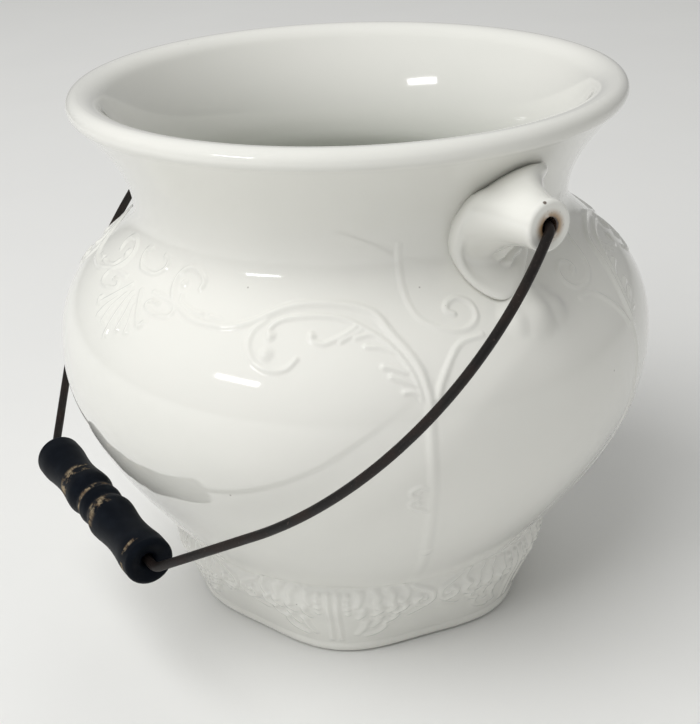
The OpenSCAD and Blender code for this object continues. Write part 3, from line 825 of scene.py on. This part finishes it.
def bailLine():
    # middle line of the right half from the lug's bore to the grip, as (out, away from the lug axis)
    bendU = lugTip - bail["bendStart"]
    splay, runIn = bail["splay"], bail["runIn"]
    pinU = lugTip - lug["boreDeep"] + bail["pinGap"]
    line = [(u, 0.0) for u in np.linspace(pinU, bendU, bail["pinRings"])[:-1]]
    for a in np.linspace(-90, -splay, bail["bendRings"]):
        line.append((bendU + bail["lugBend"] * cosD(a), bail["lugBend"] * (1 + sinD(a))))
    bendEnd = np.array(line[-1])
    legEnd = bendEnd + bail["legRun"] * np.array([sinD(splay), cosD(splay)])
    bowC = legEnd + bail["bowR"] * np.array([-cosD(splay), sinD(splay)])
    line.append(tuple((bendEnd + legEnd) / 2))
    for a in np.linspace(-splay, runIn, bail["bowRings"]):
        line.append(tuple(bowC + bail["bowR"] * np.array([cosD(a), sinD(a)])))
    bowEnd = np.array(line[-1])
    bendOut = gripLong / 2 + bail["gripGap"]
    bendIn = bendOut + bail["gripBend"] * cosD(runIn)
    runEnd = bowEnd + (bowEnd[0] - bendIn) * np.array([-1, cosD(runIn) / sinD(runIn)])
    line += [tuple(p) for p in np.linspace(bowEnd, runEnd, bail["runRings"])[1:-1]]
    gripV = runEnd[1] + bail["gripBend"] * (1 - sinD(runIn))
    for a in np.linspace(runIn, 90, bail["bendRings"]):
        line.append((bendOut + bail["gripBend"] * cosD(a), gripV - bail["gripBend"] * (1 - sinD(a))))
    line += [(u, gripV) for u in np.linspace(bendOut, 0, bail["gripRings"])[1:]]
    return np.array(line)


def buildBail():
    half = bailLine()
    whole = np.vstack([half, half[-2::-1] * (-1, 1)])
    drop = Vector((0, gripPlace.y, gripPlace.z - lugZ)) / half[-1, 1]
    path = np.column_stack([whole[:, 0], whole[:, 1] * drop.y, lugZ + whole[:, 1] * drop.z])
    points, faces = tubeMesh(path, bail["wireR"], bail["sides"])
    addPiece("bail_wire_rusty", points, faces, wireMaterial, "bail", "bail_wire")


buildBail()


# grip: turned wood with coves and beads, bored for the wire

grip = {
    "boreR": 2.4, "sinkDeep": 5.0, "endRound": 2.6, "roundSteps": 8, "boreRings": 8, "columns": 64,
    # half of the turned profile: place from the middle, radius
    "turned": [(0, 10.7), (3.2, 10.35), (6.5, 9.7), (9.5, 10.5), (13, 11.3), (17, 11.15), (22, 10.6),
               (27, 10.15), (32.5, 10.0), (38, 10.25), (43, 10.7), (48.75, 11.3), (55.9, 11.3)],
    # the end, dished and sunk about the bore: radius, depth
    "face": [(7.4, 0.5), (5.1, 1.4), (4.0, 2.2)],
}


def buildGrip():
    line = smoothLine(grip["turned"], lineSteps)
    end = gripLong / 2
    roundC = (grip["turned"][-1][1] - grip["endRound"], end - grip["endRound"])
    edge = arcPoints(roundC, grip["endRound"], 0, 90, grip["roundSteps"])
    boreEnd = end - grip["sinkDeep"]
    face = [(r, end - deep) for r, deep in grip["face"]] + [(grip["boreR"], boreEnd)]
    half = [(r, x) for x, r in line if x <= roundC[1]] + edge + face
    outline = [(r, -x) for r, x in half[:0:-1]] + half
    outline += [(grip["boreR"], x) for x in np.linspace(boreEnd, -boreEnd, grip["boreRings"])[1:-1]]
    turn = np.arange(grip["columns"]) * 360 / grip["columns"]
    points = []
    for r, x in outline:
        points += [(x, gripPlace.y + r * cosD(a), gripPlace.z + r * sinD(a)) for a in turn]
    faces = ringFaces(len(outline), grip["columns"], closed=True)
    addPiece("grip_painted", points, faces, woodMaterial, "grip", "grip")


buildGrip()


# floor, lamps and camera

stage = {
    "floor": (0.84, 0.84, 0.825, 1), "floorDark": (0.8064, 0.8064, 0.792, 1), "mottleScale": 6.0,
    "floorRough": 0.9, "floorWide": 30.0,
    "sky": (0.90, 0.90, 0.885, 1), "skyLevel": 0.39,
    "aim": (0, 0, 0.15),
    # lamps: name, direction round and up, distance from the aim, size, watts, seen in the glaze
    "lamps": [("window", -78, 30.5, 2.4, (0.66, 0.16), 4.4, True),
              ("soft_left", -80, 57, 2.6, (2.2, 1.7), 52.0, False),
              ("soft_back", 150, 40, 2.8, (2.0, 1.6), 10.0, False)],
}


def buildStage():
    bpy.ops.mesh.primitive_plane_add(size=stage["floorWide"])
    floor = bpy.context.object
    floor.name = "floor"
    desk = NodeDesk("pale_floor")
    where = desk.add("TexCoord").outputs["Object"]
    mottle = desk.noise(where, stage["mottleScale"])
    tint = desk.blend(mottle, stage["floor"], stage["floorDark"])
    desk.put(desk.shader.inputs["Base Color"], tint)
    desk.shader.inputs["Roughness"].default_value = stage["floorRough"]
    floor.data.materials.append(desk.material)
    world = bpy.data.worlds.new("studio")
    scene.world = world
    world.use_nodes = True
    sky = world.node_tree.nodes["Background"]
    sky.inputs["Color"].default_value = stage["sky"]
    sky.inputs["Strength"].default_value = stage["skyLevel"]
    for name, around, up, far, size, watts, shiny in stage["lamps"]:
        data = bpy.data.lights.new(name, "AREA")
        data.shape = "RECTANGLE"
        data.size, data.size_y = size
        data.energy = watts
        lamp = bpy.data.objects.new(name, data)
        lamp.visible_glossy = shiny
        scene.collection.objects.link(lamp)
        away = Vector((cosD(around) * cosD(up), sinD(around) * cosD(up), sinD(up)))
        lamp.location = Vector(stage["aim"]) + away * far
        lamp.rotation_euler = away.to_track_quat("Z", "Y").to_euler()


view = {
    "place": (0.51202, -0.30997, 0.40189), "around": 59.11, "tilt": 64.592, "roll": -2.107,
    "lens": 63.71, "film": 36.0,
}


def buildCamera():
    data = bpy.data.cameras.new("camera")
    data.sensor_fit = "VERTICAL"
    data.sensor_height = view["film"]
    data.lens = view["lens"]
    camera = bpy.data.objects.new("camera", data)
    scene.collection.objects.link(camera)
    turn = (Matrix.Rotation(math.radians(view["around"]), 4, "Z")
            @ Matrix.Rotation(math.radians(view["tilt"]), 4, "X")
            @ Matrix.Rotation(math.radians(view["roll"]), 4, "Z"))
    camera.matrix_world = Matrix.Translation(view["place"]) @ turn
    scene.camera = camera


buildStage()
buildCamera()
scene.view_settings.view_transform = "Standard"
print("stage, lamps and camera set")
